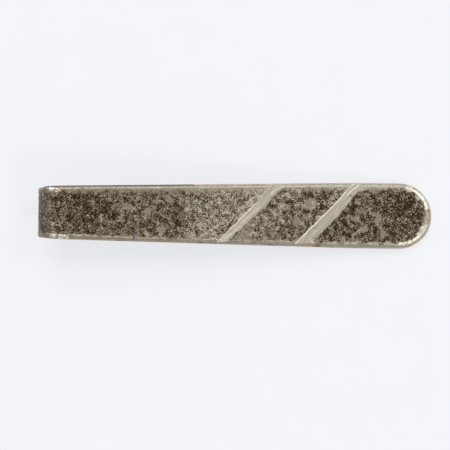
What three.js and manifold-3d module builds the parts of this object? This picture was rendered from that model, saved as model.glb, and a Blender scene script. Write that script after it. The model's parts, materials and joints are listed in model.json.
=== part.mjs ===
// A tie bar with a hinged, sprung clasp on its back, in millimetres with +Z up.
//
// Everything is drawn in the bar's own frame: x runs from the folded end to the rounded end, y runs
// across the bar and the top of the face is z = 0. The whole clip is then tipped, at the end of this
// file, until it lies on its hinge and on the tip of its rounded end, as it does on a table.
import * as THREE from 'three';
import { mergeVertices } from 'three/addons/utils/BufferGeometryUtils.js';
import Module from 'manifold-3d';

const wasm = await Module();
wasm.setup();

// ---- driving dimensions -------------------------------------------------------------------------

const LENGTH = 57;
const FOLD_WIDTH = 7.65;
const END_WIDTH = 9.44;
const TAPER_END = 16.7; // the bar widens as far as this x, then keeps its width

const SHELL_SHEET = 0.4; // struck metal of the face
const SOLDER_GAP = 0.05;
const STRIP_SHEET = 0.55; // brass strip under the face, folded back into the leaf
const THROAT = 2.2; // free height between the strip and its leaf
const LEAF_END = -5.8;
const SHELL_LAP = 1.2; // how far the face runs on past the fold

const FLANGE_TOP = 0.15; // how far the strip shows past the face on the +Y side
const FLANGE_FOLD = 0.05; // ... on the -Y side, at the fold
const FLANGE_END = 0.4; // ... on the -Y side, at the rounded end

const HINGE_X = -9.5;
const HINGE_SHEET = 0.45;
const PIN_RADIUS = 0.42;
const PIN_CLEARANCE = 0.03;
const PLAY = 0.08; // side play between the ears and the jaw's flanges
const JAW_TIP = 5.6;
const THUMB_TIP = -22;
const OPENING = THREE.MathUtils.degToRad(7.5);

const WIRE = 0.3;
const COIL_RADIUS = 0.67;
const COIL_TURNS = 6;
const COIL_WIDTH = 2.6;
const LEG = 2.6;

// ---- places that follow from them ---------------------------------------------------------------

const LEFT = -LENGTH / 2;
const RIGHT = LENGTH / 2;
const STRIP_TOP = -(SHELL_SHEET + SOLDER_GAP);
const STRIP_BACK = STRIP_TOP - STRIP_SHEET;
const FOLD_RADIUS = THROAT / 2 - STRIP_BACK;
const FOLD_X = LEFT + FOLD_RADIUS;
const LEAF_TOP = STRIP_BACK - THROAT;
const LEAF_BACK = LEAF_TOP - STRIP_SHEET;

const BASE_TOP = LEAF_BACK - PIN_CLEARANCE;
const BASE_BOTTOM = BASE_TOP - HINGE_SHEET;
const COIL_ROOM = COIL_RADIUS + WIRE / 2 + 0.1; // from the hinge axis to the sheet above or below
const HINGE_Z = BASE_BOTTOM - COIL_ROOM;
const WEB_MIDDLE = HINGE_Z - COIL_ROOM - HINGE_SHEET / 2;
const EAR_OUTSIDE = 2.3;
const EAR_ROUNDING = COIL_ROOM - 0.12;
const CHEEK_INSIDE = EAR_OUTSIDE + PLAY;
const CHEEK_OUTSIDE = CHEEK_INSIDE + HINGE_SHEET;
const HOLE_RADIUS = PIN_RADIUS + PIN_CLEARANCE;

// ---- materials ----------------------------------------------------------------------------------

const metal = (color, roughness) => new THREE.MeshStandardMaterial({ color, roughness, metalness: 0.9 });

const TARNISHED_PLATE = metal(0x766b58, 0.5);
const AGED_BRASS = metal(0x9a8a66, 0.42);
const NICKEL = metal(0xb2aca0, 0.35);
const SPRING_STEEL = metal(0x85827c, 0.3);

// ---- from geometry to solid and back ------------------------------------------------------------

function toSolid(geometry) {
  const bare = new THREE.BufferGeometry();
  bare.setAttribute('position', geometry.getAttribute('position'));
  bare.setIndex(geometry.getIndex());
  const merged = mergeVertices(bare, 1e-4);
  return new wasm.Manifold(new wasm.Mesh({
    numProp: 3,
    vertProperties: new Float32Array(merged.getAttribute('position').array),
    triVerts: new Uint32Array(merged.getIndex().array),
  }));
}

function toGeometry(solid) {
  const mesh = solid.getMesh();
  const geometry = new THREE.BufferGeometry();
  geometry.setAttribute('position', new THREE.BufferAttribute(mesh.vertProperties, 3));
  geometry.setIndex(new THREE.BufferAttribute(mesh.triVerts, 1));
  geometry.computeVertexNormals();
  return geometry;
}

const outline = (points) => new THREE.Shape(points.map(([x, y]) => new THREE.Vector2(x, y)));

const CORNER_SEGMENTS = 8;

// a shape drawn in x and y, standing from `bottom` to `top`
function upright(shape, bottom, top, curveSegments = CORNER_SEGMENTS) {
  const depth = top - bottom;
  const geometry = new THREE.ExtrudeGeometry(shape, { depth, bevelEnabled: false, curveSegments });
  return toSolid(geometry.translate(0, 0, bottom));
}

// a side view drawn in x and z, running across the bar from y = `from` to y = `to`
function across(shape, from, to, curveSegments = 24) {
  const depth = to - from;
  const geometry = new THREE.ExtrudeGeometry(shape, { depth, bevelEnabled: false, curveSegments });
  return toSolid(geometry.rotateX(Math.PI / 2).translate(0, to, 0));
}

function roundRod(radius, from, to) {
  const length = to - from;
  return toSolid(new THREE.CylinderGeometry(radius, radius, length, 24).translate(0, from + length / 2, 0));
}

function named(name, geometry, material) {
  const mesh = new THREE.Mesh(geometry, material);
  mesh.name = name;
  return mesh;
}

// ---- the bar ------------------------------------------------------------------------------------

const END_ARCS = 4; // the half-round end is drawn as this many arcs, which keeps it smooth

// Plan of the bar: tapered sides, a half-round end and two rounded corners at the fold. The sides
// are drawn in by `topIn`, and by `bottomIn` that grows from the fold to the rounded end.
function barPlan(left, topIn, bottomIn, corner) {
  const topFold = FOLD_WIDTH / 2 - topIn;
  const topEnd = END_WIDTH / 2 - topIn;
  const bottomFold = -FOLD_WIDTH / 2 + bottomIn.fold;
  const bottomEnd = -END_WIDTH / 2 + bottomIn.end;
  const radius = (topEnd - bottomEnd) / 2;
  const middle = (topEnd + bottomEnd) / 2;
  const endX = RIGHT - END_WIDTH / 2;
  const shape = new THREE.Shape();
  shape.moveTo(left + corner, bottomFold);
  shape.lineTo(TAPER_END, bottomEnd);
  shape.lineTo(endX, bottomEnd);
  for (let step = 0; step < END_ARCS; step += 1) {
    const from = -Math.PI / 2 + (step * Math.PI) / END_ARCS;
    shape.absarc(endX, middle, radius, from, from + Math.PI / END_ARCS, false);
  }
  shape.lineTo(TAPER_END, topEnd);
  shape.lineTo(left + corner, topFold);
  shape.absarc(left + corner, topFold - corner, corner, Math.PI / 2, Math.PI, false);
  shape.lineTo(left, bottomFold + corner);
  shape.absarc(left + corner, bottomFold + corner, corner, Math.PI, 1.5 * Math.PI, false);
  return shape;
}

// Side view of a sheet that runs along the top, round the fold and back underneath.
function foldedSheet(outer, sheet, underEnd) {
  const inner = outer - sheet;
  const shape = new THREE.Shape();
  shape.moveTo(RIGHT + 1, -FOLD_RADIUS + outer);
  shape.lineTo(FOLD_X, -FOLD_RADIUS + outer);
  shape.absarc(FOLD_X, -FOLD_RADIUS, outer, Math.PI / 2, 1.5 * Math.PI, false);
  shape.lineTo(underEnd, -FOLD_RADIUS - outer);
  shape.lineTo(underEnd, -FOLD_RADIUS - inner);
  shape.lineTo(FOLD_X, -FOLD_RADIUS - inner);
  shape.absarc(FOLD_X, -FOLD_RADIUS, inner, 1.5 * Math.PI, Math.PI / 2, true);
  shape.lineTo(RIGHT + 1, -FOLD_RADIUS + inner);
  return shape;
}

const SHELL_CORNER = 0.55;
const STRIP_CORNER = 0.4;
const FLANGE = { fold: FLANGE_FOLD, end: FLANGE_END };
const NO_FLANGE = { fold: 0, end: 0 };
const SHOULDER_DROP = 0.28; // height of the rounded shoulder round the face
const SHOULDER_WIDTH = 0.4;
const PARING = 0.01; // the shouldered block stands this much too high, and the sheet trims it
const RIM_TOP = 0.7; // width of the rim along the +Y edge
const RIM_BOTTOM = 0.5; // ... and along the -Y edge
const FIELD_DEPTH = 0.06;
const FIELD_CORNER = 0.1;
const BEND_MARGIN = 0.3; // from the bend to the sunk field

// The face's plan as a tall block whose upper edge is rounded over into a shoulder.
function shoulderedBlock(shape, depth) {
  const geometry = new THREE.ExtrudeGeometry(shape, {
    depth,
    bevelThickness: SHOULDER_DROP,
    bevelSize: SHOULDER_WIDTH,
    bevelOffset: -SHOULDER_WIDTH,
    bevelSegments: 2,
    curveSegments: CORNER_SEGMENTS,
  });
  return toSolid(geometry.translate(0, 0, PARING - depth - SHOULDER_DROP));
}

// A slanting cut across the face: a steep wall on its fold side and a floor that rises to meet the
// face on the other. It starts at the lower rim and runs out through the upper edge.
const CUT_ANGLE = THREE.MathUtils.degToRad(45.6);
const CUT_DEPTH = 0.17;
const CUT_WALL = 0.25;
const CUT_END = 1; // uncut length left at the lower rim
const CUTS = [
  { edge: 1.42, width: 1.25 },
  { edge: 12.81, width: 1.62 },
]; // x at which the upper-left edge crosses the middle of the bar, and width across the slant

// The cutter's two flanks run on above the face as far as they reach below it.
function slantingCut({ edge, width }) {
  const section = outline([
    [-CUT_WALL, CUT_DEPTH],
    [CUT_WALL, -CUT_DEPTH],
    [2 * width - CUT_WALL, CUT_DEPTH],
  ]);
  const reach = END_WIDTH / 2 / Math.sin(CUT_ANGLE);
  const cut = across(section, -reach + CUT_END, reach + width);
  return cut.rotate([0, 0, THREE.MathUtils.radToDeg(CUT_ANGLE) - 90]).translate([edge, 0, 0]);
}

function faceShell() {
  const plan = barPlan(LEFT, FLANGE_TOP, FLANGE, SHELL_CORNER);
  const sheet = across(foldedSheet(FOLD_RADIUS, SHELL_SHEET, FOLD_X + SHELL_LAP), -END_WIDTH, END_WIDTH);
  const fieldIn = { fold: FLANGE_FOLD + RIM_BOTTOM, end: FLANGE_END + RIM_BOTTOM };
  const fieldPlan = barPlan(FOLD_X + BEND_MARGIN, FLANGE_TOP + RIM_TOP, fieldIn, FIELD_CORNER);
  let solid = sheet.intersect(shoulderedBlock(plan, LENGTH / 2));
  solid = solid.subtract(upright(fieldPlan, -FIELD_DEPTH, 1));
  CUTS.forEach((cut) => {
    solid = solid.subtract(slantingCut(cut));
  });
  return toGeometry(solid);
}

// ---- rivets and their holes ---------------------------------------------------------------------

const RIVET_RADIUS = 0.35;
const RIVET_HEAD = 0.65;
const RIVET_DOME = 0.22;
const RIVET_PLACES = { rear: -12.4, front: -6.95 };
const DOME_STEP = { radius: 0.55 * RIVET_HEAD, height: 0.8 * RIVET_DOME }; // where the dome's slope changes
const DOME_EDGE = 0.25 * RIVET_DOME;

function rivetHole(x) {
  const radius = RIVET_RADIUS + PIN_CLEARANCE;
  const hole = new THREE.CylinderGeometry(radius, radius, THROAT, 24);
  return toSolid(hole.rotateX(Math.PI / 2).translate(x, 0, LEAF_BACK));
}

function withRivetHoles(solid) {
  return Object.values(RIVET_PLACES).reduce((body, x) => body.subtract(rivetHole(x)), solid);
}

// A low dome on each end, drawn from the bottom up round the rivet's own axis.
function rivet(name, x) {
  const top = LEAF_TOP + PIN_CLEARANCE;
  const bottom = BASE_BOTTOM - PIN_CLEARANCE;
  const profile = [
    [0, bottom - RIVET_DOME],
    [DOME_STEP.radius, bottom - DOME_STEP.height],
    [RIVET_HEAD, bottom - DOME_EDGE],
    [RIVET_HEAD, bottom],
    [RIVET_RADIUS, bottom],
    [RIVET_RADIUS, top],
    [RIVET_HEAD, top],
    [RIVET_HEAD, top + DOME_EDGE],
    [DOME_STEP.radius, top + DOME_STEP.height],
    [0, top + RIVET_DOME],
  ];
  const lathe = new THREE.LatheGeometry(profile.map(([r, z]) => new THREE.Vector2(r, z)), 24);
  const mesh = named(name, toGeometry(toSolid(lathe.rotateX(Math.PI / 2))), NICKEL);
  mesh.position.x = x;
  return mesh;
}

function backingStrip() {
  const sheet = foldedSheet(FOLD_RADIUS + STRIP_TOP, STRIP_SHEET, LEAF_END);
  const plan = barPlan(LEFT - STRIP_TOP, 0, NO_FLANGE, STRIP_CORNER);
  const solid = across(sheet, -END_WIDTH, END_WIDTH).intersect(upright(plan, -LENGTH / 2, 1));
  return toGeometry(withRivetHoles(solid));
}

// ---- the hinge ----------------------------------------------------------------------------------

const BASE_LENGTH = { rear: 3.9, front: 3.4 }; // from the hinge axis to the base's ends
const EAR_LENGTH = { rear: 2.4, front: 1.7 };

// The bracket is a channel: a base riveted to the leaf and two ears that carry the pin.
function hingeBracket() {
  const base = outline([
    [HINGE_X - BASE_LENGTH.rear, -EAR_OUTSIDE],
    [HINGE_X + BASE_LENGTH.front, -EAR_OUTSIDE],
    [HINGE_X + BASE_LENGTH.front, EAR_OUTSIDE],
    [HINGE_X - BASE_LENGTH.rear, EAR_OUTSIDE],
  ]);
  const ear = new THREE.Shape();
  ear.moveTo(HINGE_X - EAR_LENGTH.rear, BASE_TOP);
  ear.lineTo(HINGE_X - EAR_LENGTH.rear, BASE_BOTTOM);
  ear.lineTo(HINGE_X - EAR_ROUNDING, HINGE_Z);
  ear.absarc(HINGE_X, HINGE_Z, EAR_ROUNDING, Math.PI, 2 * Math.PI, false);
  ear.lineTo(HINGE_X + EAR_LENGTH.front, BASE_BOTTOM);
  ear.lineTo(HINGE_X + EAR_LENGTH.front, BASE_TOP);
  const ears = across(ear, -EAR_OUTSIDE, EAR_OUTSIDE).subtract(
    across(ear, -EAR_OUTSIDE + HINGE_SHEET, EAR_OUTSIDE - HINGE_SHEET),
  );
  const pinHole = roundRod(HOLE_RADIUS, -END_WIDTH, END_WIDTH).translate([HINGE_X, 0, HINGE_Z]);
  const channel = upright(base, BASE_BOTTOM, BASE_TOP).add(ears).subtract(pinHole);
  return toGeometry(withRivetHoles(channel));
}

const PIN_HEAD = 0.7;
const PIN_HEAD_HEIGHT = 0.3;
const PIN_HEAD_BEVEL = 0.12;

function hingePin() {
  const inner = CHEEK_OUTSIDE + PIN_CLEARANCE;
  const outer = inner + PIN_HEAD_HEIGHT;
  const halfProfile = [
    [PIN_RADIUS, inner],
    [PIN_HEAD, inner],
    [PIN_HEAD, outer - PIN_HEAD_BEVEL],
    [PIN_HEAD - PIN_HEAD_BEVEL, outer],
    [0, outer],
  ];
  const mirrored = halfProfile.map(([r, y]) => [r, -y]).reverse();
  const profile = [...mirrored, ...halfProfile].map(([r, y]) => new THREE.Vector2(r, y));
  const mesh = named('hinge_pin', toGeometry(toSolid(new THREE.LatheGeometry(profile, 24))), NICKEL);
  mesh.position.set(HINGE_X, 0, HINGE_Z);
  return mesh;
}

// The wire runs in along one leg under the bracket's base, round the pin, and out along the other
// leg on the jaw lever's web. Both legs point to the thumb tab and push it away from the leaf.
class SpringPath extends THREE.Curve {
  getPoint(t) {
    const turn = 2 * Math.PI * (COIL_TURNS + 0.5);
    const around = Math.hypot(turn * COIL_RADIUS, COIL_WIDTH);
    const s = t * (2 * LEG + around);
    const half = COIL_WIDTH / 2;
    if (s < LEG) {
      return new THREE.Vector3(s - LEG, half, COIL_RADIUS);
    }
    if (s > LEG + around) {
      return new THREE.Vector3(LEG + around - s, -half, -COIL_RADIUS);
    }
    const share = (s - LEG) / around;
    const angle = share * turn;
    const [x, z] = [COIL_RADIUS * Math.sin(angle), COIL_RADIUS * Math.cos(angle)];
    return new THREE.Vector3(x, half - share * COIL_WIDTH, z);
  }
}

function torsionSpring() {
  const section = new THREE.Shape();
  section.absarc(0, 0, WIRE / 2, 0, 2 * Math.PI, false);
  const extrudePath = new SpringPath();
  const wire = new THREE.ExtrudeGeometry(section, { extrudePath, steps: 150, curveSegments: 5 });
  const mesh = named('torsion_spring', toGeometry(toSolid(wire)), SPRING_STEEL);
  mesh.position.set(HINGE_X, 0, HINGE_Z);
  return mesh;
}

// ---- the jaw lever ------------------------------------------------------------------------------

const TOOTH_GAP = 0.06; // between the shut teeth and the back of the strip
const TOOTH_DEPTH = 0.4;
const TEETH = 6;
const LIP_HALF = 2.3;
const THUMB_HALF = 3.2;
const THUMB_ROUNDING = 1.5;

// A bent sheet in side view: the path's points moved half a sheet to either side.
function bentSheet(path, sheet) {
  const offset = (side) => path.map((point, i) => {
    const before = path[Math.max(i - 1, 0)];
    const after = path[Math.min(i + 1, path.length - 1)];
    const first = Math.atan2(point[1] - before[1], point[0] - before[0]);
    const second = Math.atan2(after[1] - point[1], after[0] - point[0]);
    const a = i === 0 ? second : first;
    const b = i === path.length - 1 ? first : second;
    const reach = (side * sheet) / 2 / Math.cos((b - a) / 2);
    const normal = (a + b) / 2 + Math.PI / 2;
    return [point[0] + reach * Math.cos(normal), point[1] + reach * Math.sin(normal)];
  });
  return outline([...offset(-1), ...offset(1).reverse()]);
}

const TAB_DROP = 1.05; // the thumb tab's tip lies this far below the web under the pin
const WEB_DROP = 0.05;
const LIP_HEIGHT = 1.15; // of the upturned lip, from its bend to the strip

// Middle of the lever's web and lip in side view, from the thumb tab's tip to the teeth.
const WEB_PATH = [
  [THUMB_TIP, WEB_MIDDLE - TAB_DROP],
  [HINGE_X - 4.2, WEB_MIDDLE - WEB_DROP],
  [HINGE_X, WEB_MIDDLE],
  [JAW_TIP - 0.6, STRIP_BACK - LIP_HEIGHT],
  [JAW_TIP - 0.25, STRIP_BACK - 0.65 * LIP_HEIGHT],
  [JAW_TIP - 0.1, STRIP_BACK - TOOTH_GAP],
];

// Plan of the lever: a rounded thumb tab, a straight channel and a slightly narrower toothed lip.
function leverPlan() {
  const shape = new THREE.Shape();
  const tab = THUMB_TIP + THUMB_ROUNDING - HINGE_SHEET;
  const tabRoot = HINGE_X - 6;
  const lipRoot = JAW_TIP - 1;
  shape.moveTo(tab, -THUMB_HALF);
  shape.lineTo(tabRoot, -CHEEK_OUTSIDE);
  shape.lineTo(lipRoot - 1, -CHEEK_OUTSIDE);
  shape.lineTo(lipRoot, -LIP_HALF);
  shape.lineTo(JAW_TIP + 1, -LIP_HALF);
  shape.lineTo(JAW_TIP + 1, LIP_HALF);
  shape.lineTo(lipRoot, LIP_HALF);
  shape.lineTo(lipRoot - 1, CHEEK_OUTSIDE);
  shape.lineTo(tabRoot, CHEEK_OUTSIDE);
  shape.lineTo(tab, THUMB_HALF);
  shape.absarc(tab, THUMB_HALF - THUMB_ROUNDING, THUMB_ROUNDING, Math.PI / 2, Math.PI, false);
  shape.lineTo(tab - THUMB_ROUNDING, -THUMB_HALF + THUMB_ROUNDING);
  shape.absarc(tab, -THUMB_HALF + THUMB_ROUNDING, THUMB_ROUNDING, Math.PI, 1.5 * Math.PI, false);
  return shape;
}

// One side wall. Its rear upper corner meets the leaf when the clasp is fully open.
const STOP_ARM = 5;
const STOP_DROP = STOP_ARM * Math.sin(OPENING) + 0.1;
const CROWN_HALF = 0.9; // the wall's flat top over the pin
const CROWN_HEIGHT = 0.75;

function cheek() {
  const rear = HINGE_X - STOP_ARM;
  const front = JAW_TIP - 1.3;
  return outline([
    [rear, WEB_MIDDLE - WEB_DROP],
    [HINGE_X, WEB_MIDDLE],
    [front + 0.2, STRIP_BACK - LIP_HEIGHT - 0.15],
    [front, STRIP_BACK - LIP_HEIGHT + 0.15],
    [HINGE_X + CROWN_HALF, HINGE_Z + CROWN_HEIGHT],
    [HINGE_X - CROWN_HALF, HINGE_Z + CROWN_HEIGHT],
    [rear, LEAF_BACK - STOP_DROP],
  ]);
}

function toothNotch(y) {
  const half = LIP_HALF / TEETH;
  const top = STRIP_BACK;
  const notch = outline([
    [y - half, top],
    [y, top - TOOTH_GAP - TOOTH_DEPTH],
    [y + half, top],
  ]);
  const geometry = new THREE.ExtrudeGeometry(notch, { depth: 2, bevelEnabled: false });
  // drawn in y and z, running along x
  return toSolid(geometry.rotateX(Math.PI / 2).rotateZ(Math.PI / 2).translate(JAW_TIP - 1, 0, 0));
}

const GRIP_RIBS = 4;
const GRIP_PITCH = 1.1;
const GRIP_HEIGHT = 0.14;
const GRIP_START = 1.6; // from the tab's tip to the first rib

// A low rib across the outside of the thumb tab, `along` mm from its tip.
function gripRib(along) {
  const [tip, bend] = WEB_PATH;
  const share = along / (bend[0] - tip[0]);
  const z = tip[1] + share * (bend[1] - tip[1]) - HINGE_SHEET / 2;
  const reach = THUMB_HALF - THUMB_ROUNDING / 2;
  return roundRod(2 * GRIP_HEIGHT, -reach, reach).translate([tip[0] + along, 0, z + GRIP_HEIGHT]);
}

function jawLever() {
  let solid = across(bentSheet(WEB_PATH, HINGE_SHEET), -END_WIDTH, END_WIDTH);
  solid = solid.intersect(upright(leverPlan(), -LENGTH / 2, 0));
  solid = solid.add(across(cheek(), CHEEK_INSIDE, CHEEK_OUTSIDE));
  solid = solid.add(across(cheek(), -CHEEK_OUTSIDE, -CHEEK_INSIDE));
  solid = solid.subtract(roundRod(HOLE_RADIUS, -END_WIDTH, END_WIDTH).translate([HINGE_X, 0, HINGE_Z]));
  for (let i = 0; i <= TEETH; i += 1) {
    solid = solid.subtract(toothNotch(-LIP_HALF + (2 * LIP_HALF * i) / TEETH));
  }
  for (let i = 0; i < GRIP_RIBS; i += 1) {
    solid = solid.add(gripRib(GRIP_START + i * GRIP_PITCH));
  }
  return toGeometry(solid);
}

// ---- the assembly, lying on its hinge and its rounded end -----------------------------------------

const clip = new THREE.Group();
clip.add(
  named('face_shell', faceShell(), TARNISHED_PLATE),
  named('backing_strip', backingStrip(), AGED_BRASS),
  named('hinge_bracket', hingeBracket(), NICKEL),
  rivet('bracket_rivet_rear', RIVET_PLACES.rear),
  rivet('bracket_rivet_front', RIVET_PLACES.front),
  hingePin(),
  torsionSpring(),
  named('jaw_lever', jawLever(), NICKEL),
);

const webBottom = WEB_MIDDLE - HINGE_SHEET / 2;
clip.rotation.y = Math.atan2(STRIP_BACK - webBottom, RIGHT - HINGE_X);

const bounds = new THREE.Box3().setFromObject(clip, true);
const middle = bounds.getCenter(new THREE.Vector3());
clip.position.set(-middle.x, -middle.y, -bounds.min.z);

const group = new THREE.Group();
group.add(clip);

export default group;
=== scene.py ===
"""A worn tie bar with a sprung clasp behind it, lying face up on a pale table.

The meshes are drawn in millimetres in the bar's own frame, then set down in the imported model's frame.
In the bar's frame x runs from the fold to the rounded end, y runs across, and the face's top is z = 0.
"""

import json
import math

import bmesh
import bpy
import numpy as np
from mathutils import Matrix, Vector


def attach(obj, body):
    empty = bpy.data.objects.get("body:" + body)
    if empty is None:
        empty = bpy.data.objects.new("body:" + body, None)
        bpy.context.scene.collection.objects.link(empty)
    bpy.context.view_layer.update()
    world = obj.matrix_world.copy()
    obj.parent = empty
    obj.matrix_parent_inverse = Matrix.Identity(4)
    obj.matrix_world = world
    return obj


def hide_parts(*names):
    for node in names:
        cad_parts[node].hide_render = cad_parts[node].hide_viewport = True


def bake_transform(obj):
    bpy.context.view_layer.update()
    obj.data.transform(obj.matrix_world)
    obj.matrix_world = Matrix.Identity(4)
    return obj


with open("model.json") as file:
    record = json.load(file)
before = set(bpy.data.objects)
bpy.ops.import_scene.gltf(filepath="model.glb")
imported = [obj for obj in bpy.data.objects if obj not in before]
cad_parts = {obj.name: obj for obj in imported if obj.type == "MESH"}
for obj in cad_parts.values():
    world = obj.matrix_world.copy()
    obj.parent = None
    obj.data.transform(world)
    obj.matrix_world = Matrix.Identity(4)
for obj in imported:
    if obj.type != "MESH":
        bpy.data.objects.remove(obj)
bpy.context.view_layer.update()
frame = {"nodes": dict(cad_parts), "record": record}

# ---- driving dimensions, in millimetres ------------------------------------------------------------

MM = 0.001
LENGTH = 57.0
FOLD_WIDTH = 7.65
END_WIDTH = 9.44
TAPER_END = 16.7

SHELL_SHEET = 0.4
SOLDER_GAP = 0.05
STRIP_SHEET = 0.55
THROAT = 2.2
LEAF_END = -5.8
SHELL_LAP = 1.2
FLANGE_TOP = 0.15
FLANGE_FOLD = 0.05
FLANGE_END = 0.4

HINGE_X = -9.5
HINGE_SHEET = 0.45
PIN_RADIUS = 0.42
PIN_CLEARANCE = 0.03
CHEEK_OUTSIDE = 2.83

WIRE = 0.3
COIL_RADIUS = 0.67
COIL_TURNS = 6
COIL_WIDTH = 2.6
LEG = 2.6

# ---- places that follow from them ------------------------------------------------------------------

LEFT, RIGHT = -LENGTH / 2, LENGTH / 2
STRIP_TOP = -(SHELL_SHEET + SOLDER_GAP)
STRIP_BACK = STRIP_TOP - STRIP_SHEET
FOLD_RADIUS = THROAT / 2 - STRIP_BACK
FOLD_X = LEFT + FOLD_RADIUS
END_X = RIGHT - END_WIDTH / 2
LEAF_TOP = STRIP_BACK - THROAT
BASE_BOTTOM = LEAF_TOP - STRIP_SHEET - PIN_CLEARANCE - HINGE_SHEET
HINGE_Z = BASE_BOTTOM - (COIL_RADIUS + WIRE / 2 + 0.1)


def bar_to_row():
    """The matrix from the bar's frame, in millimetres, to the row frame, in metres."""
    down = next(m["axis"] for m in frame["record"]["mounts"] if m["name"] == "back_face")
    tilt = math.atan2(-down[0], -down[2])
    hinge = Vector(frame["record"]["behaviour"]["joints"][0]["pos_m"])
    turn = Matrix.Rotation(tilt, 4, "Y")
    from_hinge = Matrix.Translation((-HINGE_X, 0, -HINGE_Z))
    return Matrix.Translation(hinge) @ turn @ Matrix.Scale(MM, 4) @ from_hinge


BAR = bar_to_row()

# ---- smooth noise on a lattice ---------------------------------------------------------------------


def noise(x, y, cell, seed):
    """Smooth noise from 0 to 1, with features about one cell across."""
    size = 512
    lattice = np.random.default_rng(seed).random((size, size))
    u, v = x / cell + size / 2, y / cell + size / 2
    i, j = np.floor(u).astype(int), np.floor(v).astype(int)
    fu, fv = u - i, v - j
    fu, fv = fu * fu * (3 - 2 * fu), fv * fv * (3 - 2 * fv)
    i, j = i % size, j % size
    i1, j1 = (i + 1) % size, (j + 1) % size
    near = lattice[i, j] * (1 - fu) + lattice[i1, j] * fu
    far = lattice[i, j1] * (1 - fu) + lattice[i1, j1] * fu
    return near * (1 - fv) + far * fv


def smoothstep(low, high, value):
    t = np.clip((value - low) / (high - low), 0, 1)
    return t * t * (3 - 2 * t)


# ---- meshes ----------------------------------------------------------------------------------------

MERGE = 1e-4  # points nearer than this are one point
SHARP = math.radians(50)  # edges that turn by more than this are shaded sharp


def set_values(mesh, key, values):
    """Stores a number or a vector on each point, for a material to read."""
    vector = np.ndim(values) == 2
    layer = mesh.attributes.new(key, "FLOAT_VECTOR" if vector else "FLOAT", "POINT")
    layer.data.foreach_set("vector" if vector else "value", np.asarray(values, np.float32).ravel())


def values_of(mesh, key, size=1):
    """What is stored on each point, as one row per point."""
    values = np.zeros(len(mesh.vertices) * size, np.float32)
    mesh.attributes[key].data.foreach_get("vector" if size == 3 else "value", values)
    return values.reshape(-1, 3) if size == 3 else values


def new_piece(name, points, faces, attributes=None):
    """A smooth-shaded object in the row frame from points in the bar's frame."""
    mesh = bpy.data.meshes.new(name)
    mesh.from_pydata(points.tolist(), [], faces)
    for key, values in (attributes or {}).items():
        set_values(mesh, key, values)
    set_values(mesh, "bar", points)
    return finished(name, mesh)


def finished(name, mesh):
    """Merges what coincides, turns every face outward, shades it smooth and sets it in the row frame."""
    work = bmesh.new()
    work.from_mesh(mesh)
    bmesh.ops.remove_doubles(work, verts=work.verts, dist=MERGE)
    bmesh.ops.recalc_face_normals(work, faces=work.faces)
    work.to_mesh(mesh)
    work.free()
    mesh.transform(BAR)
    mesh.shade_smooth()
    mesh.set_sharp_from_angle(angle=SHARP)
    piece = bpy.data.objects.new(name, mesh)
    bpy.context.scene.collection.objects.link(piece)
    return piece


def dress(piece, body, material, slot, *nodes):
    """Gives a piece its material and its body, and hides the CAD nodes it stands for."""
    piece.data.materials.append(material)
    if body:
        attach(piece, body)
    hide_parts(*nodes)


# ---- the folded sheets of the bar ------------------------------------------------------------------

BEND_NARROWING = 0.1  # how far each side is drawn in where the sheet is bent
BEND_REACH = 3.0  # ... and how far along the bar that reaches


class Plan:
    """Outline of a sheet from above: tapered sides, a half-round end and rounded corners at the fold."""

    def __init__(self, left, top_in, bottom_in_fold, bottom_in_end, corner):
        self.left = left
        self.high = (FOLD_WIDTH / 2 - top_in, END_WIDTH / 2 - top_in)
        self.low = (FOLD_WIDTH / 2 - bottom_in_fold, END_WIDTH / 2 - bottom_in_end)
        self.corner = corner
        self.radius = (self.high[1] + self.low[1]) / 2
        self.middle = (self.high[1] - self.low[1]) / 2

    def _side(self, x, widths):
        start = self.left + self.corner
        share = np.clip((x - start) / (TAPER_END - start), 0, 1)
        straight = widths[0] + share * (widths[1] - widths[0])
        inside = np.clip(start - x, 0, self.corner)
        pulled_in = BEND_NARROWING * smoothstep(LEFT + BEND_REACH, LEFT, x)
        return straight - pulled_in - self.corner + np.sqrt(self.corner**2 - inside**2)

    def sides(self, x):
        """The lower and upper edge at each x."""
        beyond = np.clip(x - END_X, 0, self.radius)
        chord = np.sqrt(self.radius**2 - beyond**2)
        past = x > END_X
        low = np.where(past, self.middle - chord, -self._side(x, self.low))
        high = np.where(past, self.middle + chord, self._side(x, self.high))
        return low, high

    def margin(self, x, y):
        """How far inside the outline each point lies."""
        low, high = self.sides(x)
        beside = np.minimum(high - y, y - low)
        round_end = self.radius - np.hypot(x - END_X, y - self.middle)
        return np.maximum(np.where(x > END_X, round_end, beside), 0)


def fold(s, h):
    """x and z of a point h above the face's level, s along the face from the fold; s < 0 goes round it."""
    turn = np.clip(-s / FOLD_RADIUS, 0, math.pi)
    beyond = np.clip(-s - math.pi * FOLD_RADIUS, 0, None)
    reach = FOLD_RADIUS + h
    x = FOLD_X + np.clip(s, 0, None) + beyond - reach * np.sin(turn)
    z = -FOLD_RADIUS + reach * np.cos(turn)
    return x, z


def stations(start, pitch, radius):
    """Rows along a sheet from s = start to the tip, closer together round the end."""
    end = END_X - FOLD_X
    straight = np.linspace(start, end, int((end - start) / pitch))
    quarter = np.linspace(0, math.pi / 2, int(radius * math.pi / 2 / pitch))[1:]
    return np.concatenate([straight, end + radius * np.sin(quarter)])


def columns(count, gather):
    """Places from 0 to 1 across a sheet, closer together at both edges."""
    t = np.linspace(0, 1, count)
    return t - gather * np.sin(2 * math.pi * t) / (2 * math.pi)


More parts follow.
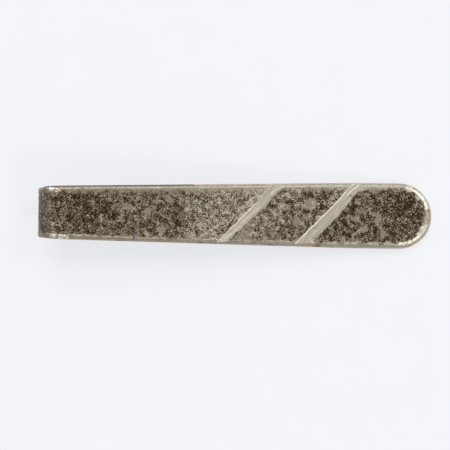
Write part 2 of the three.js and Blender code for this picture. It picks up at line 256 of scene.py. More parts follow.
def sheet_points(plan, rows, across, height):
    """Points and measures of one skin of a folded sheet; height works on x, y, margin and s."""
    s, t = np.meshgrid(rows, across, indexing="ij")
    x, _ = fold(s, np.zeros_like(s))
    low, high = plan.sides(x)
    y = low + t * (high - low)
    margin = plan.margin(x, y)
    h = height(x, y, margin, s)
    px, pz = fold(s, h)
    return np.stack([px, y, pz], axis=-1), {"along": s, "margin": margin}


def folded_sheet(name, plan, rows, across, upper, lower, lower_across=None):
    """A closed sheet between an upper and a lower skin."""
    lower_across = across if lower_across is None else lower_across
    top, measures = sheet_points(plan, rows, across, upper)
    under, under_measures = sheet_points(plan, rows, lower_across, lower)
    n, c, d = len(rows), len(across), len(lower_across)
    up = np.arange(n * c).reshape(n, c)
    down = n * c + np.arange(n * d).reshape(n, d)
    faces = quads(up) + quads(down[:, ::-1])
    for edge, other in ((up[:, 0], down[:, 0]), (up[:, -1], down[:, -1])):
        faces += np.stack([edge[:-1], edge[1:], other[1:], other[:-1]], axis=-1).tolist()
    faces.append(up[0].tolist() + down[0][::-1].tolist())
    points = np.concatenate([top.reshape(-1, 3), under.reshape(-1, 3)])
    attributes = {k: np.concatenate([v.ravel(), under_measures[k].ravel()]) for k, v in measures.items()}
    return new_piece(name, points, faces, attributes)


def quads(grid):
    """Faces between neighbouring rows and columns of point numbers."""
    corners = [grid[:-1, :-1], grid[1:, :-1], grid[1:, 1:], grid[:-1, 1:]]
    return np.stack(corners, axis=-1).reshape(-1, 4).tolist()


# ---- the face --------------------------------------------------------------------------------------

FOLD_CORNER = 0.15
SHELL_PLAN = Plan(LEFT, FLANGE_TOP, FLANGE_FOLD, FLANGE_END, FOLD_CORNER)
STRIP_PLAN = Plan(LEFT - STRIP_TOP, 0, 0, 0, FOLD_CORNER)
FACE_PITCH = 0.1  # between rows of points along the face
FACE_COLUMNS = 110

SHOULDER_DROP = 0.28
SHOULDER_WIDTH = 0.42
RIM_TOP = 0.72
RIM_BOTTOM = 0.36
RIM_WIDER = 0.26  # how much the lower rim widens towards the fold and round the tip
FIELD_DEPTH = 0.05

CUT_ANGLE = math.radians(45.6)
CUT_DEPTH = 0.17
CUT_WALL = 0.17
# Where each cut's upper-left edge crosses the middle, and its widths from the lower to the upper end.
CUTS = (
    {"edge": 1.42, "widths": (1.05, 1.22, 1.5), "flare": 0.3, "wander": 0.16},
    {"edge": 12.81, "widths": (1.6, 1.68, 1.4), "flare": 0.16, "wander": 0.07},
)
CUT_REACH = 5.2  # half the length of a cut, along its slant
BURR = 0.02


def cut_axes(cut, x, y):
    """How far a point lies past a cut's upper-left edge, how far along the cut, and the cut's width there."""
    across = (x - cut["edge"]) * math.sin(CUT_ANGLE) - y * math.cos(CUT_ANGLE)
    along = (x - cut["edge"]) * math.cos(CUT_ANGLE) + y * math.sin(CUT_ANGLE)
    wander = cut["wander"] * (noise(along, 0 * along, 0.9, 41) - 0.5)
    wander = wander + 0.05 * (noise(x, y, 0.3, 43) - 0.5)
    across = across + wander + cut["flare"] * smoothstep(0.65 * CUT_REACH, CUT_REACH, along)
    width = np.interp(along, (-CUT_REACH, 0, CUT_REACH), cut["widths"])
    return across, along, width


def cut_floor(cut, x, y):
    """Height of a cut's surface: a steep wall, then a scratched, hollow floor that rises to the far edge."""
    across, along, width = cut_axes(cut, x, y)
    wall = -CUT_DEPTH * across / CUT_WALL
    share = np.clip((across - CUT_WALL) / (width - CUT_WALL), 0, 3)
    scratches = 0.014 * (noise(across, along / 12, 0.11, 44) - 0.5)
    floor = -CUT_DEPTH * (1 - share**1.5) + scratches
    return np.where(across < CUT_WALL, wall, floor)


def in_cuts(x, y):
    """From 0 on the field to 1 inside a slanting cut."""
    inside = np.zeros_like(x)
    for cut in CUTS:
        across, _, width = cut_axes(cut, x, y)
        ragged = 0.14 * (noise(x, y, 0.35, 42) - 0.5)
        half = width / 2
        inside = np.maximum(inside, smoothstep(0.05, -0.05, np.abs(across - half) - half + ragged))
    return inside


def cut_wall_burr_and_highlight(x, y):
    """From 0 to 1 on the upper-left edges of the cuts: their burnished burr, with a painted highlight."""
    first, second = (bump_line(cut_axes(cut, x, y)[0], 0.05, 0.12) for cut in CUTS)
    return np.maximum(0.45 * first, second)


def cut_strokes(x, y):
    """Coordinates in which the scratches left by the cutter run along the second axis."""
    across, along, _ = cut_axes(CUTS[0], x, y)
    return np.stack([across, along / 14, 0 * x], axis=-1)


def field_grain(x, y):
    """The pitted surface of the field, from 0 in the pits to 1 on the grains."""
    fine = noise(x, y, 0.26, 1)
    medium = noise(x, y, 0.55, 2)
    coarse = noise(x, y, 1.7, 3)
    return 0.45 * fine + 0.35 * medium + 0.2 * coarse


def rim_width(x, y):
    """Width of the smooth rim: broad along the upper edge, narrow along most of the lower one."""
    lower = RIM_BOTTOM + RIM_WIDER * (smoothstep(-12, -22, x) + smoothstep(24.3, 26.5, x))
    return lower + (RIM_TOP - lower) * smoothstep(-1.5, 1.5, y)


def inset(x, y, margin):
    """How far inside the field a point lies; the border with the rim is ragged."""
    ragged = 0.26 * (noise(x, y, 0.6, 5) - 0.5) + 0.2 * (noise(x, y, 0.25, 6) - 0.5)
    return margin - rim_width(x, y) - ragged


def face_height(x, y, margin, s):
    """Height of the struck face: shoulder, rim, pitted field and slanting cuts."""
    inward = np.clip(margin / SHOULDER_WIDTH, 0, 1)
    shoulder = -SHOULDER_DROP * (1 - np.sqrt(1 - (1 - inward) ** 2))
    field = smoothstep(-0.12, 0.12, inset(x, y, margin))
    grain = 0.07 * (field_grain(s, y) - 0.5)
    surface = shoulder - field * (FIELD_DEPTH - grain) + 0.006 * (noise(x, y, 0.4, 7) - 0.5)
    flat = np.where(s > -0.3, 1.0, 0.0)
    for cut in CUTS:
        across, _, width = cut_axes(cut, x, y)
        burr = bump_line(across, -0.06, 0.07) + 0.6 * bump_line(across, width + 0.04, 0.06)
        surface = surface + flat * BURR * burr * inward
        surface = np.where(flat > 0, np.minimum(surface, cut_floor(cut, x, y)), surface)
    return surface + flat * (facet_ridge(x, y) + torn_end(x, y))


def bump_line(value, middle, width):
    """A smooth hump, 1 high, where the value is near the middle."""
    return np.exp(-(((value - middle) / width) ** 2))


def facet_ridge(x, y):
    """The low ridge between two facets at the upper end of the second cut."""
    across, along, _ = cut_axes(CUTS[1], x, y)
    line = 0.59 + 0.09 * (along - 3.85)
    return 0.05 * bump_line(across, line, 0.09) * smoothstep(2.6, 4.0, along)


def torn_end(x, y):
    """The small hook of metal the cutter pushed up at the lower end of the first cut."""
    across, along, width = cut_axes(CUTS[0], x, y)
    lip = bump_line(along, -5.15 + 0.5 * np.abs(across - width / 2), 0.13)
    return 0.1 * lip * smoothstep(-0.2, 0.1, across) * smoothstep(width + 0.2, width - 0.1, across)


def under_shell(x, y, margin, s):
    return np.full_like(x, -SHELL_SHEET)


# The tone of the field at places along the face, on each of the three panels between the cuts.
PANELS = (
    ((-9, 0.46), (-0.4, 0.46), (0.2, 0.5), (0.8, 0.43), (6.5, 0.42), (8, 0.45), (10, 0.5), (14.6, 0.49),
     (18, 0.48), (20, 0.56), (22, 0.61), (26, 0.63), (29, 0.68)),
    ((30, 0.55), (34, 0.52), (45, 0.52)),
    ((38, 0.44), (46, 0.48), (49, 0.41), (55, 0.4)),
)

# Marks on the face, each as x, y and size: rubbed pale, tarnished dark, burnished by handling with painted
# highlights on the rim, and pitted.
BARE_PATCHES = (
    (20.9, -0.6, 0.5), (18.6, -2.1, 0.45), (21.5, -2.5, 0.55), (10.6, 1.7, 0.6), (8.9, -1.0, 0.55),
    (1.4, -2.8, 0.7), (-15.4, 0.9, 0.6), (-10.3, -2.4, 0.6), (-9.3, 2.1, 0.5), (-12.5, 0.3, 0.6),
)
TARNISH = (
    (-17.0, 2.8, 0.4), (-15.1, 2.7, 0.35), (-12.9, 2.3, 0.45), (-11.8, -0.7, 0.5), (-8.4, 1.4, 0.45),
    (-8.0, -1.5, 0.4), (-11.9, -2.4, 0.4), (-9.7, 3.0, 0.35), (-16.0, -1.7, 0.35), (-19.2, 0.4, 0.7),
    (13.5, 1.1, 0.6), (25.0, 1.6, 0.8),
)
BURNISHED_AND_HIGHLIT_SPOTS = (
    (-26.4, 3.4, 0.45), (-25.6, 3.2, 0.4), (-26.0, -3.3, 0.5), (-25.0, -3.4, 0.45), (-24.1, -3.5, 0.35),
    (25.4, 4.0, 0.7), (26.8, 3.1, 1.0), (27.8, 1.8, 0.75), (27.7, -2.0, 0.8), (26.7, -3.2, 1.0),
    (25.2, -4.0, 0.8), (23.6, -4.2, 0.5),
)
PITS = ((16.8, 2.85, 0.14), (-21.8, 3.5, 0.13), (21.8, 3.5, 0.13), (28.05, 0.8, 0.15), (8.0, 3.6, 0.12))
BLUE_STAINS = ((-4.4, 1.25, 0.3), (-14.1, -2.85, 0.28))


def spots(places, x, y):
    """From 0 to 1 near a few places given as x, y and size, with ragged borders."""
    ragged = 1.1 + 1.3 * (noise(x, y, 0.35, 51) - 0.5) + 0.9 * (noise(x, y, 0.16, 52) - 0.5)
    amount = np.zeros_like(x)
    for px, py, size in places:
        away = np.hypot(x - px, y - py) / size * ragged
        amount = np.maximum(amount, smoothstep(1.25, 0.75, away))
    return amount


def field_tone(x, y, along):
    """The tone of the field's plating, from dark patina at 0.3 to bare metal at 0.8."""
    tones = [np.interp(along, *zip(*stops)) for stops in PANELS]
    tone = tones[0]
    for cut, beyond in zip(CUTS, tones[1:]):
        tone = np.where(cut_axes(cut, x, y)[0] > 0, beyond, tone)
    return tone + 0.1 * spots(BARE_PATCHES, x, y) - 0.15 * spots(TARNISH, x, y)


def make_face():
    """The struck face, with the measures that its material reads stored on its points."""
    lap = -math.pi * FOLD_RADIUS - SHELL_LAP
    rows = stations(lap, FACE_PITCH, SHELL_PLAN.radius)
    across = columns(FACE_COLUMNS, 0.55)
    piece = folded_sheet("face_plate", SHELL_PLAN, rows, across, face_height, under_shell, across[[0, -1]])
    mesh = piece.data
    x, y, _ = values_of(mesh, "bar", 3).T
    along, margin = values_of(mesh, "along"), values_of(mesh, "margin")
    set_values(mesh, "cut", in_cuts(x, y) * (along > -0.3))
    set_values(mesh, "grain", field_grain(along, y))
    set_values(mesh, "inset", inset(x, y, margin))
    set_values(mesh, "tone", field_tone(x, y, along))
    set_values(mesh, "bare_patch", spots(BARE_PATCHES, x, y))
    # Burnished spots on the rim, with painted highlights where its shoulders would catch the lamps.
    set_values(mesh, "burnish_and_highlight", spots(BURNISHED_AND_HIGHLIT_SPOTS, x, y) * (along > -1.5))
    set_values(mesh, "blue_stain", spots(BLUE_STAINS, x, y))
    set_values(mesh, "pit", spots(PITS, x, y))
    # Painted highlight along the cuts' steep upper-left walls, over their burnished burr.
    set_values(mesh, "wall", cut_wall_burr_and_highlight(x, y))
    set_values(mesh, "strokes", cut_strokes(x, y))
    return piece


# ---- the strip -------------------------------------------------------------------------------------

EDGE_ROUNDING = 0.13
STRIP_PITCH = 0.2  # between rows of points along the strip
STRIP_COLUMNS = 40


def rounded(margin):
    """How far a sheet's face drops near its rounded edge."""
    inward = np.clip(margin / EDGE_ROUNDING, 0, 1)
    return EDGE_ROUNDING * (1 - np.sqrt(1 - (1 - inward) ** 2))


def strip_margin(x, margin, s):
    """Distance to the nearest edge, with the leaf's free end among them."""
    under = s < -math.pi * FOLD_RADIUS
    return np.where(under, np.minimum(margin, LEAF_END - x), margin)


def strip_upper(x, y, margin, s):
    wave = 0.012 * (noise(s, y, 2.5, 21) - 0.5)
    return STRIP_TOP - rounded(strip_margin(x, margin, s)) + wave


def strip_lower(x, y, margin, s):
    wave = 0.012 * (noise(s, y, 2.5, 22) - 0.5)
    return STRIP_BACK + rounded(strip_margin(x, margin, s)) + wave


def make_strip():
    """The strip under the face, from the tip round the fold to the free end of the leaf."""
    start = -math.pi * FOLD_RADIUS - (LEAF_END - FOLD_X)
    near_end = start + EDGE_ROUNDING * (1 - np.cos(np.linspace(0, math.pi / 2, 6)))[:-1]
    rows = np.concatenate([near_end, stations(start + EDGE_ROUNDING, STRIP_PITCH, STRIP_PLAN.radius)])
    across = columns(STRIP_COLUMNS, 0.9)
    piece = folded_sheet("folded_strip", STRIP_PLAN, rows, across, strip_upper, strip_lower)
    place = values_of(piece.data, "bar", 3)
    margin = values_of(piece.data, "margin")
    reach = smoothstep(LEAF_END + 0.2, LEAF_END - 0.2, place[:, 0])
    # Tarnish and painted shade: the upper edge is brown as far as the leaf's end.
    tarnish_and_shade = (place[:, 1] > 0) * reach * smoothstep(0.4, 0.2, margin)
    set_values(piece.data, "edge_tarnish_and_shade", tarnish_and_shade)
    return piece


# ---- the clasp -------------------------------------------------------------------------------------

SHEET_ROUNDING = 0.09
RIVET_REAR = -12.4
RIVET_FRONT = -6.95
RIVET_RADIUS = 0.35
RIVET_HEAD = 0.65
RIVET_DOME = 0.22
PIN_HEAD = 0.7
PIN_HEAD_EDGE = 0.1
PIN_HEAD_DOME = 0.3 - PIN_HEAD_EDGE


def refined(name, node):
    """A copy of a CAD node's sheet-metal shape with its edges rounded over."""
    mesh = frame["nodes"][node].data.copy()
    mesh.name = name
    mesh.materials.clear()
    work = bmesh.new()
    work.from_mesh(mesh)
    bmesh.ops.remove_doubles(work, verts=work.verts, dist=2e-6)
    bmesh.ops.dissolve_limit(work, angle_limit=math.radians(1.5), verts=work.verts, edges=work.edges)
    work.to_mesh(mesh)
    work.free()
    mesh.shade_smooth()
    piece = bpy.data.objects.new(name, mesh)
    bpy.context.scene.collection.objects.link(piece)
    bevel = piece.modifiers.new("edges", "BEVEL")
    bevel.width = SHEET_ROUNDING * MM
    bevel.segments = 3
    bevel.limit_method = "ANGLE"
    bevel.angle_limit = math.radians(35)
    bevel.harden_normals = True
    return piece


def lathe(name, profile, centre, axis, segments=64):
    """A turned piece: (radius, height) pairs turned round an axis, y or z, through a point."""
    angles = np.linspace(0, 2 * math.pi, segments, endpoint=False)
    r, h = np.array(profile).T
    a, b = np.outer(r, np.cos(angles)), np.outer(r, np.sin(angles))
    along = np.outer(h, np.ones(segments))
    points = np.stack([a, along, b] if axis == "y" else [a, b, along], axis=-1) + np.array(centre)
    grid = np.arange(points.shape[0] * segments).reshape(-1, segments)
    ring = np.concatenate([grid, grid[:, :1]], axis=1)
    return new_piece(name, points.reshape(-1, 3), quads(ring))


def dome(radius, height, base, steps=8):
    """Profile of a low domed head, from its rim to its crown."""
    angles = np.linspace(0, math.pi / 2, steps)
    return [(radius * math.cos(a), base + height * math.sin(a)) for a in angles]


def make_rivet(name, x):
    top, bottom = LEAF_TOP + PIN_CLEARANCE, BASE_BOTTOM - PIN_CLEARANCE
    upper = [(RIVET_RADIUS, top), *dome(RIVET_HEAD, RIVET_DOME, top)]
    lower = [(r, bottom + top - z) for r, z in upper]
    return lathe(name, [*lower[::-1], *upper], (x, 0, 0), "z")


def make_pin():
    inner = CHEEK_OUTSIDE + PIN_CLEARANCE
    crown = dome(PIN_HEAD, PIN_HEAD_DOME, inner + PIN_HEAD_EDGE)
    half = [(PIN_RADIUS, inner), (PIN_HEAD, inner), *crown]
    mirrored = [(r, -y) for r, y in half][::-1]
    return lathe("turned_pin", [*mirrored, *half], (HINGE_X, 0, HINGE_Z), "y")


def spring_path(steps=420):
    """Middle of the spring's wire: a leg, the coil round the pin, and the other leg."""
    turn = 2 * math.pi * (COIL_TURNS + 0.5)
    share = np.linspace(0, 1, steps)
    angle = share * turn
    coil = [COIL_RADIUS * np.sin(angle), COIL_WIDTH * (0.5 - share), COIL_RADIUS * np.cos(angle)]
    leg = np.linspace(LEG, 0, 14)[:-1]
    first = np.stack([-leg, 0 * leg + COIL_WIDTH / 2, 0 * leg + COIL_RADIUS], axis=-1)
    last = np.stack([-leg[::-1], 0 * leg - COIL_WIDTH / 2, 0 * leg - COIL_RADIUS], axis=-1)
    return np.concatenate([first, np.stack(coil, axis=-1), last]) + np.array([HINGE_X, 0, HINGE_Z])


def tube(name, path, radius, sides=16):
    """A round wire with closed, slightly rounded ends."""
    tangent = np.gradient(path, axis=0)
    tangent /= np.linalg.norm(tangent, axis=1, keepdims=True)
    side = np.cross(tangent, [0.0, 1.0, 0.0])
    side /= np.linalg.norm(side, axis=1, keepdims=True)
    up = np.cross(side, tangent)
    angles = np.linspace(0, 2 * math.pi, sides, endpoint=False)
    girth = np.full(len(path), radius)
    girth[[0, -1]] = 0.6 * radius
    around = np.cos(angles)[:, None] * side[:, None] + np.sin(angles)[:, None] * up[:, None]
    points = (path[:, None] + girth[:, None, None] * around).reshape(-1, 3)
    grid = np.arange(len(points)).reshape(-1, sides)
    faces = quads(np.concatenate([grid, grid[:, :1]], axis=1))
    faces += [grid[0].tolist(), grid[-1].tolist()]
    return new_piece(name, points, faces)


# ---- materials -------------------------------------------------------------------------------------


def linear(r, g, b):
    """A colour given in 0 to 255 display values, as the shader wants it."""
    shares = [c / 255 for c in (r, g, b)]
    curved = [s / 12.92 if s <= 0.04045 else ((s + 0.055) / 1.055) ** 2.4 for s in shares]
    return (*curved, 1)


class Shader:
    """A Principled material and short calls for the nodes that feed it."""

    def __init__(self, name, metallic):
        self.material = bpy.data.materials.new(name)
        self.material.use_nodes = True
        self.nodes = self.material.node_tree.nodes
        self.links = self.material.node_tree.links
        self.surface = self.nodes["Principled BSDF"]
        self.surface.inputs["Metallic"].default_value = metallic

    def feed(self, socket, value):
        if isinstance(value, bpy.types.NodeSocket):
            self.links.new(value, socket)
        elif value is not None:
            socket.default_value = value

    def attribute(self, name, vector=False):
        node = self.nodes.new("ShaderNodeAttribute")
        node.attribute_name = name
        return node.outputs["Vector" if vector else "Fac"]

    def place(self, scale=1.0):
        """Position in millimetres, from the object's own coordinates."""
        node = self.nodes.new("ShaderNodeTexCoord")
        mapping = self.nodes.new("ShaderNodeMapping")
        stretch = scale if isinstance(scale, tuple) else (scale,) * 3
        mapping.inputs["Scale"].default_value = tuple(s / MM for s in stretch)
        self.links.new(node.outputs["Object"], mapping.inputs["Vector"])
        return mapping.outputs["Vector"]

    def noise(self, vector, size, detail=3.0, roughness=0.5, distortion=0.0):
        """Noise from about 0.3 to 0.7, with features about `size` mm across."""
        node = self.nodes.new("ShaderNodeTexNoise")
        self.feed(node.inputs["Vector"], vector)
        node.inputs["Scale"].default_value = 1 / size
        node.inputs["Detail"].default_value = detail
        node.inputs["Roughness"].default_value = roughness
        node.inputs["Distortion"].default_value = distortion
        return node.outputs["Fac"]

    def ramp(self, value, low, high, to_low=0.0, to_high=1.0):
        node = self.nodes.new("ShaderNodeMapRange")
        node.interpolation_type = "SMOOTHSTEP"
        places = {"Value": value, "From Min": low, "From Max": high, "To Min": to_low, "To Max": to_high}
        for key, item in places.items():
            self.feed(node.inputs[key], item)
        return node.outputs["Result"]

    def math(self, operation, a, b=None):
        node = self.nodes.new("ShaderNodeMath")
        node.operation = operation
        self.feed(node.inputs[0], a)
        self.feed(node.inputs[1], b)
        return node.outputs["Value"]

    def mix(self, share, a, b):
        node = self.nodes.new("ShaderNodeMix")
        node.data_type = "RGBA"
        self.feed(node.inputs["Factor"], share)
        self.feed(node.inputs[6], a)
        self.feed(node.inputs[7], b)
        return node.outputs[2]

    def sum(self, *terms):
        """Each value times its weight, added up."""
        total = None
        for value, weight in terms:
            part = self.math("MULTIPLY", value, weight)
            total = part if total is None else self.math("ADD", total, part)
        return total

    def tones(self, value, stops):
        """A colour read off a scale of (place, colour) stops, with places from 0 to 1."""
        node = self.nodes.new("ShaderNodeValToRGB")
        elements = node.color_ramp.elements
        while len(elements) < len(stops):
            elements.new(0.5)
        for element, (place, colour) in zip(elements, stops):
            element.position = place
            element.color = colour
        self.feed(node.inputs["Fac"], value)
        return node.outputs["Color"]

    def bump(self, height, distance, strength=1.0):
        node = self.nodes.new("ShaderNodeBump")
        node.inputs["Strength"].default_value = strength
        node.inputs["Distance"].default_value = distance * MM
        self.links.new(height, node.inputs["Height"])
        self.links.new(node.outputs["Normal"], self.surface.inputs["Normal"])


PATINA_DEEP = linear(42, 29, 14)
PATINA = linear(80, 63, 40)
BROWN_PLATE = linear(110, 97, 77)
DULL_PLATE = linear(132, 121, 103)
SPECK = linear(160, 150, 133)
# Brightest field tone: pale grains of plating and painted glints from its pits.
BRIGHT_SPECK_AND_GLINT = linear(210, 202, 184)
CLEAN_PLATE = linear(200, 192, 172)
DIRTY_PLATE = linear(172, 161, 142)
CUT_DULL = linear(170, 163, 143)
CUT_BRIGHT = linear(196, 189, 169)
# Pale burnished metal, also used as a painted highlight on the rim and on the cuts' walls.
BURNISH_AND_HIGHLIGHT = linear(246, 240, 220)
PALE_PATCH = linear(152, 140, 124)
# Painted reflection and painted glints for the face where it turns round the fold.
BEND_REFLECTION_GREY = linear(108, 103, 97)
BEND_GLINT = linear(196, 190, 181)
BLUE = linear(96, 100, 116)


def face_metal():
    """Worn plating: a dark, mottled field with painted glints, bright rim and cuts with painted highlights,
    and a painted reflection round the fold.
    """
    m = Shader("worn_plate", 0.75)
    place = m.attribute("bar", vector=True)
    cut = m.attribute("cut")
    specks = m.noise(place, 0.19, detail=2.0, roughness=0.6, distortion=0.3)
    clouds = m.noise(place, 1.1, detail=3.0)
    flecks_and_glints = m.ramp(m.noise(place, 0.17, detail=1.0), 0.6, 0.7)
    # Share of the painted reflection round the fold.
    bend_reflection = m.ramp(m.attribute("along"), 0.5, -0.6)
    tone = m.attribute("tone")
    patchy = m.math("MULTIPLY", m.ramp(tone, 0.41, 0.49, 0.15, 1.0), m.ramp(tone, 0.53, 0.6, 1.0, 0.35))
    patches = m.math("MULTIPLY", m.ramp(m.noise(place, 0.8, detail=2.5), 0.44, 0.55), patchy)
    speck_share = m.ramp(patches, 0.0, 1.0, 1.9, 1.0)
    mottle = m.math("MULTIPLY", m.math("SUBTRACT", specks, 0.5), speck_share)
    mottle = m.sum((mottle, 1.0), (m.attribute("grain"), 0.4), (clouds, 0.7), (tone, 1.0), (flecks_and_glints, 0.17))
    mottle = m.math("SUBTRACT", m.sum((mottle, 1.0), (patches, 0.17), (patchy, -0.1)), 0.565)
    # The top of this scale is pale grains of plating and painted glints from the pits.
    tones = [(0.3, PATINA_DEEP), (0.41, PATINA), (0.5, BROWN_PLATE), (0.58, DULL_PLATE), (0.7, SPECK)]
    field = m.tones(mottle, [*tones, (0.86, BRIGHT_SPECK_AND_GLINT)])
    rubbed = m.math("MULTIPLY", m.attribute("bare_patch"), m.ramp(specks, 0.24, 0.43))
    field = m.mix(rubbed, field, PALE_PATCH)
    # Painted reflection round the fold: a lighter, cooler grey with painted glints where the face turns away.
    field = m.mix(m.math("MULTIPLY", bend_reflection, 0.42), field, BEND_REFLECTION_GREY)
    bend_glints = m.ramp(m.noise(place, 0.27, detail=1.0), 0.56, 0.63)
    field = m.mix(m.math("MULTIPLY", m.math("MULTIPLY", bend_reflection, bend_glints), 0.6), field, BEND_GLINT)
    edge = m.sum((m.attribute("inset"), 1.0), (specks, 2.2), (clouds, 2.2))
    rim = m.ramp(edge, 2.34, 2.12)
    bare_tone = m.mix(m.ramp(m.attribute("along"), 8.0, 48.0), DIRTY_PLATE, CLEAN_PLATE)
    bare_tone = m.mix(m.ramp(specks, 0.54, 0.36, 0.0, 0.75), bare_tone, BROWN_PLATE)
    # Burnished spots and painted highlights on the rim, brightest on the rounded end's shoulders.
    burnish_highlight_share = m.math("MULTIPLY", m.attribute("burnish_and_highlight"), m.ramp(specks, 0.3, 0.46))
    bare_tone = m.mix(burnish_highlight_share, bare_tone, BURNISH_AND_HIGHLIGHT)
    strokes = m.noise(m.attribute("strokes", vector=True), 0.16, detail=3.0, roughness=0.6)
    cut_tone = m.mix(m.ramp(strokes, 0.34, 0.62), CUT_DULL, CUT_BRIGHT)
    # Painted highlight on the cuts' steep upper-left walls, over their burnished burr.
    cut_tone = m.mix(m.attribute("wall"), cut_tone, BURNISH_AND_HIGHLIGHT)
    bare_tone = m.mix(cut, bare_tone, cut_tone)
    bare = m.math("MAXIMUM", rim, cut)
    colour = m.mix(bare, field, bare_tone)
    colour = m.mix(m.math("MULTIPLY", m.attribute("blue_stain"), 0.55), colour, BLUE)
    colour = m.mix(m.attribute("pit"), colour, PATINA_DEEP)
    m.feed(m.surface.inputs["Base Color"], colour)
    rough = m.ramp(mottle, 0.45, 0.75, 0.6, 0.42)
    bare_rough = m.ramp(burnish_highlight_share, 0.0, 1.0, 0.38, 0.28)
    m.feed(m.surface.inputs["Roughness"], m.ramp(bare, 0.0, 1.0, rough, bare_rough))
    m.bump(m.sum((specks, 1.0), (m.noise(place, 0.12), 0.4)), 0.04, 0.5)
    return m.material


BRASS = linear(186, 176, 164)
BRASS_BROWN = linear(142, 122, 96)
# Brown tarnish darkened with painted shade, for the strip's upper edge.
EDGE_TARNISH_AND_SHADE = linear(98, 80, 56)


def strip_metal():
    """Aged brass, pale where rubbed, and brown along the upper edge as far as the leaf's end, where tarnish
    is darkened with painted shade.
    """
    m = Shader("aged_brass", 0.8)
    place = m.place()
    stains = m.noise(place, 1.8, detail=5.0, roughness=0.6)
    colour = m.mix(m.ramp(stains, 0.5, 0.7), BRASS, BRASS_BROWN)
    # Tarnish with painted shade along the upper edge, as far as the leaf's end.
    colour = m.mix(m.attribute("edge_tarnish_and_shade"), colour, EDGE_TARNISH_AND_SHADE)
    m.feed(m.surface.inputs["Base Color"], colour)
    m.feed(m.surface.inputs["Roughness"], m.ramp(stains, 0.35, 0.7, 0.3, 0.5))
    m.bump(m.noise(m.place((0.12, 1.0, 1.0)), 0.12, detail=2.0), 0.012, 0.6)
    return m.material


NICKEL = linear(188, 183, 172)
NICKEL_DULL = linear(158, 150, 134)
NICKEL_DARK = linear(112, 101, 84)


def clasp_metal():
    """Satin nickel plate, rubbed lengthways, with tarnish in cloudy patches."""
    m = Shader("satin_nickel", 0.9)
    clouds = m.noise(m.place(), 2.2, detail=6.0, roughness=0.62)
    fine = m.noise(m.place(), 0.35, detail=3.0)
    colour = m.mix(m.ramp(clouds, 0.42, 0.72, 0.0, 0.8), NICKEL, NICKEL_DULL)
    colour = m.mix(m.ramp(fine, 0.6, 0.72, 0.0, 0.5), colour, NICKEL_DARK)
    m.feed(m.surface.inputs["Base Color"], colour)
    streaks = m.noise(m.place((0.06, 1.0, 1.0)), 0.1, detail=2.0)
    m.feed(m.surface.inputs["Roughness"], m.ramp(clouds, 0.35, 0.7, 0.28, 0.42))
    m.bump(streaks, 0.01, 0.5)
    return m.material


WIRE_STEEL = linear(158, 156, 152)
WIRE_BROWN = linear(98, 80, 62)


def spring_metal():
    """Drawn spring wire with a few brown spots."""
    m = Shader("spring_wire", 0.95)
    spots = m.noise(m.place(), 0.5, detail=4.0)
    m.feed(m.surface.inputs["Base Color"], m.mix(m.ramp(spots, 0.55, 0.7), WIRE_STEEL, WIRE_BROWN))
    m.feed(m.surface.inputs["Roughness"], m.ramp(spots, 0.4, 0.7, 0.22, 0.5))
    m.bump(m.noise(m.place(), 0.08), 0.008, 0.5)
    return m.material


TABLE_GLOW = 0.705  # the table's own light, which keeps it nearly white beside the bar


def table_paper():
    """A pale table top that glows a little."""
    m = Shader("pale_table", 0.0)
    place = m.place()
    fibre = m.noise(place, 6.0, detail=4.0)
    m.feed(m.surface.inputs["Base Color"], m.mix(fibre, linear(138, 140, 144), linear(144, 145, 148)))
    m.surface.inputs["Roughness"].default_value = 0.9
    m.surface.inputs["Emission Color"].default_value = linear(247, 248, 251)
    m.surface.inputs["Emission Strength"].default_value = TABLE_GLOW
    return m.material


# ---- the pieces ------------------------------------------------------------------------------------

nickel = clasp_metal()
dress(make_face(), "bar", face_metal(), "tarnished_plate", "face_shell")
dress(make_strip(), "bar", strip_metal(), "aged_brass", "backing_strip")
dress(refined("channel_bracket", "hinge_bracket"), "bar", nickel, "nickel_plate", "hinge_bracket")
dress(make_rivet("rivet_rear", RIVET_REAR), "bar", nickel, "nickel_plate", "bracket_rivet_rear")
dress(make_rivet("rivet_front", RIVET_FRONT), "bar", nickel, "nickel_plate", "bracket_rivet_front")
dress(make_pin(), "bar", nickel, "nickel_plate", "hinge_pin")
dress(refined("toothed_lever", "jaw_lever"), "jaw", nickel, "nickel_plate", "jaw_lever")

spring = tube("wound_spring", spring_path(), WIRE / 2)
dress(spring, None, spring_metal(), "spring_steel", "torsion_spring")
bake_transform(spring)

# ---- table, light and camera -----------------------------------------------------------------------


def make_table(half=1.5):
    mesh = bpy.data.meshes.new("table_top")
    corners = [(-half, -half, 0), (half, -half, 0), (half, half, 0), (-half, half, 0)]
    mesh.from_pydata(corners, [], [(0, 1, 2, 3)])
    mesh.materials.append(table_paper())
    table = bpy.data.objects.new("table_top", mesh)
    bpy.context.scene.collection.objects.link(table)


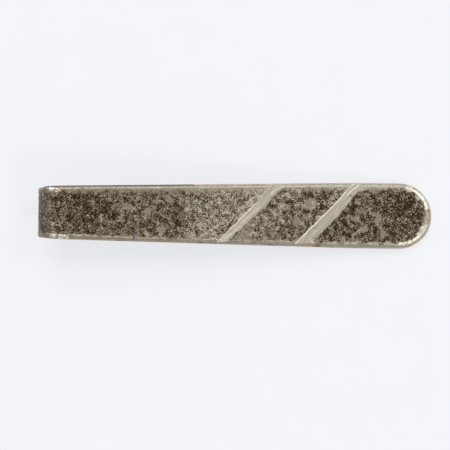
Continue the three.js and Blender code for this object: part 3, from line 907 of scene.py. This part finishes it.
def softbox(name, place, size, power, colour=(1, 1, 1)):
    """A square area light that faces the middle of the bar."""
    light = bpy.data.lights.new(name, "AREA")
    light.shape = "SQUARE"
    light.size = size
    light.energy = power
    light.color = colour
    lamp = bpy.data.objects.new(name, light)
    lamp.location = place
    lamp.rotation_euler = (-Vector(place)).to_track_quat("-Z", "Y").to_euler()
    bpy.context.scene.collection.objects.link(lamp)


HORIZON, ZENITH = 0.8, 0.42  # brightness of the room's walls and of its ceiling


def make_light():
    """A pale room, brighter towards its walls, and three softboxes."""
    world = bpy.data.worlds.new("pale_room")
    bpy.context.scene.world = world
    world.use_nodes = True
    nodes, links = world.node_tree.nodes, world.node_tree.links
    sky = nodes["Background"]
    sky.inputs["Color"].default_value = linear(247, 249, 255)
    direction = nodes.new("ShaderNodeTexCoord")
    parts = nodes.new("ShaderNodeSeparateXYZ")
    height = nodes.new("ShaderNodeMapRange")
    for key, value in {"From Min": 0.05, "From Max": 0.45, "To Min": HORIZON, "To Max": ZENITH}.items():
        height.inputs[key].default_value = value
    links.new(direction.outputs["Generated"], parts.inputs["Vector"])
    links.new(parts.outputs["Z"], height.inputs["Value"])
    links.new(height.outputs["Result"], sky.inputs["Strength"])
    softbox("key_right", (0.62, 0.34, 0.90), 0.3, 2.2, (1.0, 0.97, 0.92))
    softbox("key_low", (0.55, -0.55, 0.85), 0.3, 2.2, (1.0, 0.97, 0.92))
    softbox("fill_top", (-0.10, 0.62, 0.90), 0.5, 3.4)


VIEW_WIDTH = 64.95  # mm across the picture at the face's level
VIEW_CENTRE = (-1.30, -1.56)  # the point of the face in the middle of the picture
VIEW_ROLL = math.radians(0.64)
LENS, SENSOR = 150.0, 36.0


def make_camera():
    data = bpy.data.cameras.new("camera")
    data.lens, data.sensor_width = LENS, SENSOR
    data.clip_start, data.clip_end = 0.01, 10
    camera = bpy.data.objects.new("camera", data)
    bpy.context.scene.collection.objects.link(camera)
    distance = VIEW_WIDTH * LENS / SENSOR
    turn = BAR.to_quaternion() @ Matrix.Rotation(VIEW_ROLL, 3, "Z").to_quaternion()
    camera.location = BAR @ Vector((*VIEW_CENTRE, distance))
    camera.rotation_mode = "QUATERNION"
    camera.rotation_quaternion = turn
    bpy.context.scene.camera = camera


make_table()
make_light()
make_camera()
bpy.context.scene.view_settings.view_transform = "Standard"
